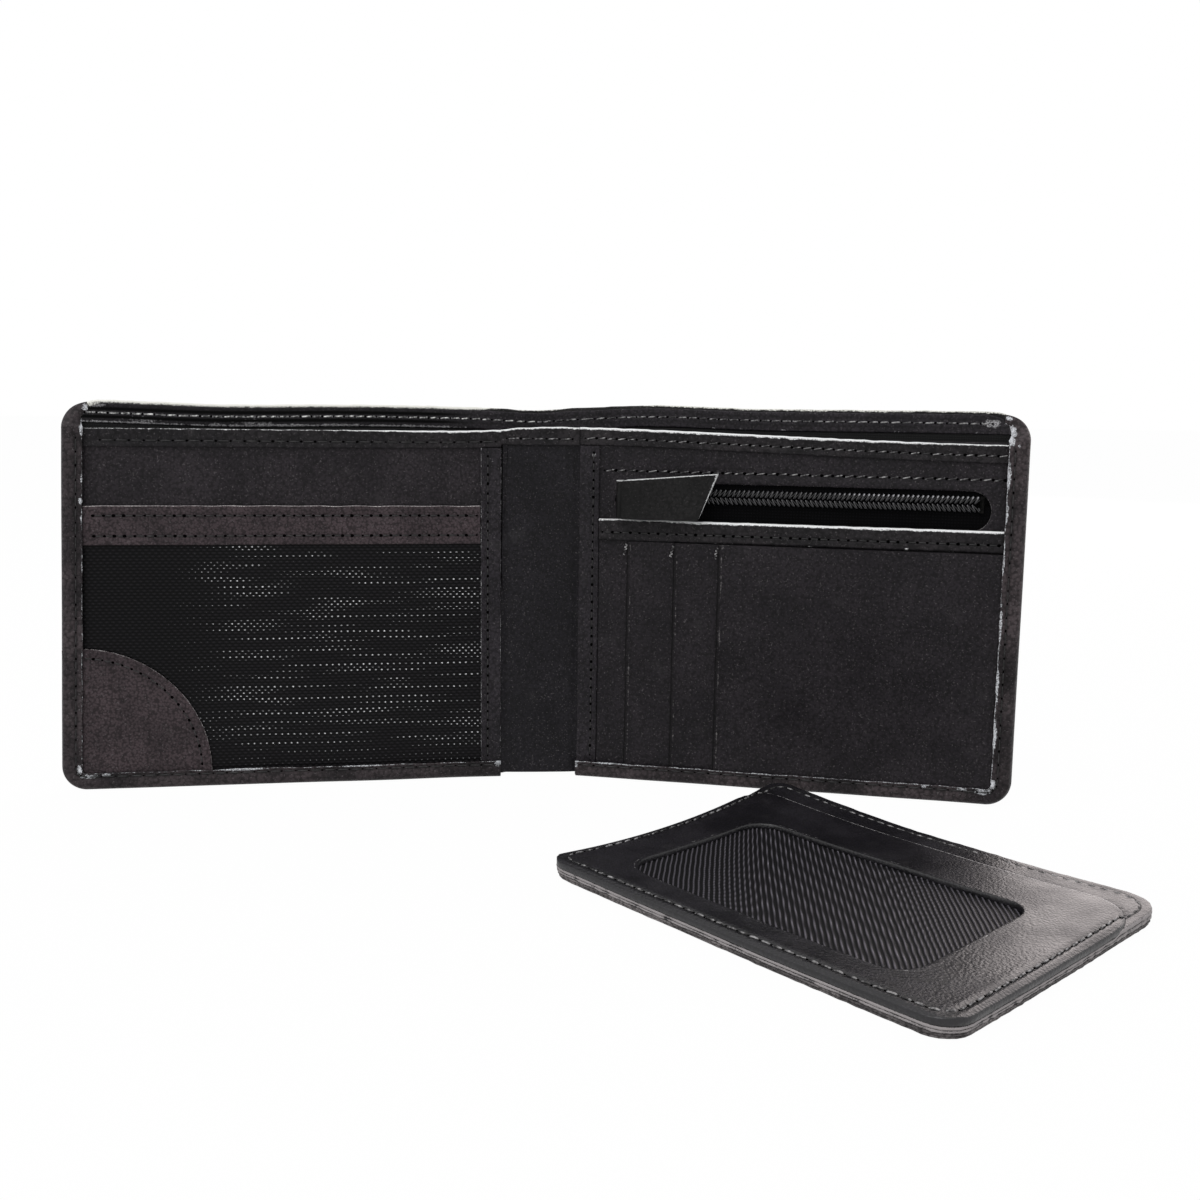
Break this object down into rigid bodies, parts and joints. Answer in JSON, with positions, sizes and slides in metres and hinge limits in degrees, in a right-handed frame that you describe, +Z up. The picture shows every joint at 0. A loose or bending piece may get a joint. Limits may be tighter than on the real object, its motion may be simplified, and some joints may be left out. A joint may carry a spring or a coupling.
{
  "type": "bifold wallet with card holder",
  "caption": "Open leather bifold wallet with a bill compartment, card pockets, a net window pocket and a zipped coin pocket, and a loose card holder with a window lying in front of it.",
  "frame": {"origin": "middle of the whole object's footprint, on the surface it stands on", "axes": "+X along the wallet's length from its left wing to its right wing, +Y from the inside of the wallet to its outside, +Z up"},
  "size_m": [0.233, 0.1554, 0.095],
  "materials": {
    "grained_leather": "fine grain, worn pale along cut edges",
    "binding_leather": "fine grain, rubbed shiny along the folds",
    "smooth_leather": "smooth, with a pale cut edge",
    "lining_fabric": "plain weave",
    "window_net": "fine open net",
    "ribbed_fabric": "diagonal ribs",
    "zip_tape": "herringbone weave",
    "zip_coil": "moulded coil",
    "dark_metal": "dark nickel plate, scuffed"
  },
  "bodies": {
    "right_wing": {"right_cover_leather": "grained_leather", "right_cover_turned_edge": "grained_leather", "right_cover_lining": "lining_fabric", "right_edge_binding": "binding_leather", "right_bill_divider": "grained_leather", "right_divider_hem": "grained_leather", "right_divider_lining": "lining_fabric", "right_inner_strip": "grained_leather", "zip_panel": "grained_leather", "zip_tape_upper": "zip_tape", "zip_tape_lower": "zip_tape", "zip_coil_upper": "zip_coil", "zip_coil_lower": "zip_coil", "zip_top_stop_upper": "dark_metal", "zip_top_stop_lower": "dark_metal", "zip_bottom_stop": "dark_metal", "coin_pocket_lining": "lining_fabric", "front_pocket_panel": "grained_leather", "front_pocket_band": "grained_leather", "card_pocket_1": "grained_leather", "card_pocket_2": "grained_leather", "card_pocket_3": "grained_leather"},
    "spine": {"spine_cover_leather": "grained_leather", "spine_cover_turned_edge": "grained_leather", "spine_cover_lining": "lining_fabric", "spine_inner_panel": "grained_leather", "spine_divider_hem": "grained_leather", "spine_divider_lining": "lining_fabric"},
    "left_wing": {"left_cover_leather": "grained_leather", "left_cover_turned_edge": "grained_leather", "left_cover_lining": "lining_fabric", "left_edge_binding": "binding_leather", "left_bill_divider": "grained_leather", "left_divider_hem": "grained_leather", "left_divider_lining": "lining_fabric", "left_inner_strip": "grained_leather", "window_top_band": "grained_leather", "window_net": "window_net", "window_corner_patch": "grained_leather"},
    "zip_slider": {"zip_slider_body": "dark_metal"},
    "zip_pull": {"zip_pull_pin": "dark_metal", "zip_pull_tab": "smooth_leather"},
    "card_holder": {"holder_back_leather": "grained_leather", "holder_inner_lining": "lining_fabric", "holder_pocket_leather": "grained_leather", "holder_window_fabric": "ribbed_fabric", "holder_front_frame": "grained_leather"}
  },
  "joints": [
    {"name": "spine_fold", "type": "hinge", "parent": "right_wing", "child": "spine", "pos_m": [0.00936, 0.06298, 0], "axis": [0, 0, 1], "range_deg": [-14.48, 75.5]},
    {"name": "left_fold", "type": "hinge", "parent": "spine", "child": "left_wing", "pos_m": [-0.00924, 0.06298, 0], "axis": [0, 0, 1], "range_deg": [-5.57, 90.4]},
    {"name": "zip_slide", "type": "slide", "parent": "right_wing", "child": "zip_slider", "axis": [0.9682, -0.25, 0], "range_m": [0, 0.0765]},
    {"name": "pull_turn", "type": "hinge", "parent": "zip_slider", "child": "zip_pull", "pos_m": [0.02111, 0.05891, 0.0731], "axis": [0, 0, -1], "range_deg": [0, 168]},
    {"name": "holder_lift", "type": "slide", "parent": "right_wing", "child": "card_holder", "axis": [0, 0, 1], "range_m": [0, 0.15]}
  ]
}
